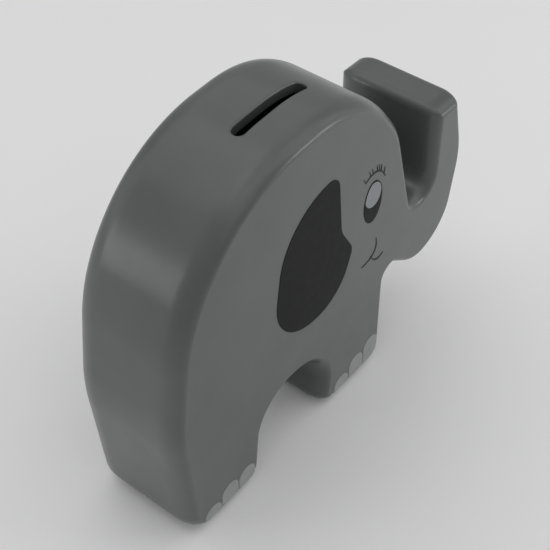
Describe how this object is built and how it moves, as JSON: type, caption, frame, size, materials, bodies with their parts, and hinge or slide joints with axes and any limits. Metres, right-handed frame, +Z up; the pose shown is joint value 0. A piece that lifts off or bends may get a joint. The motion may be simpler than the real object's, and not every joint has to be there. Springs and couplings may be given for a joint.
{
  "type": "animal coin bank",
  "caption": "Elephant-shaped slab coin bank with a raised trunk, a coin slot along the back, a hollow chamber and a pull-out stopper in the arch between the legs.",
  "frame": {"origin": "middle of the bounding box on the surface that the pads stand on", "axes": "+X forwards to the trunk, +Y to the elephant's left flank, +Z up"},
  "size_m": [0.1676, 0.0454, 0.1459],
  "materials": {
    "glaze": "satin grey glaze",
    "rubber": "matt moulded",
    "felt": "needled felt",
    "print_dark": "satin fired print",
    "print_light": "satin fired print",
    "print_nail": "satin fired print"
  },
  "bodies": {
    "bank": {"body": "glaze", "foot_pad_hind_right": "felt", "foot_pad_hind_left": "felt", "foot_pad_front_right": "felt", "foot_pad_front_left": "felt", "ear_print_right": "print_dark", "eye_print_right": "print_dark", "eye_highlight_right": "print_light", "eyelash_print_right": "print_dark", "smile_print_right": "print_dark", "hind_toenails_right": "print_nail", "front_toenails_right": "print_nail", "ear_print_left": "print_dark", "eye_print_left": "print_dark", "eye_highlight_left": "print_light", "eyelash_print_left": "print_dark", "smile_print_left": "print_dark", "hind_toenails_left": "print_nail", "front_toenails_left": "print_nail"},
    "stopper": {"stopper": "rubber"}
  },
  "joints": [
    {"name": "stopper_pull", "type": "slide", "parent": "bank", "child": "stopper", "axis": [0, 0, -1], "range_m": [0, 0.027]}
  ]
}
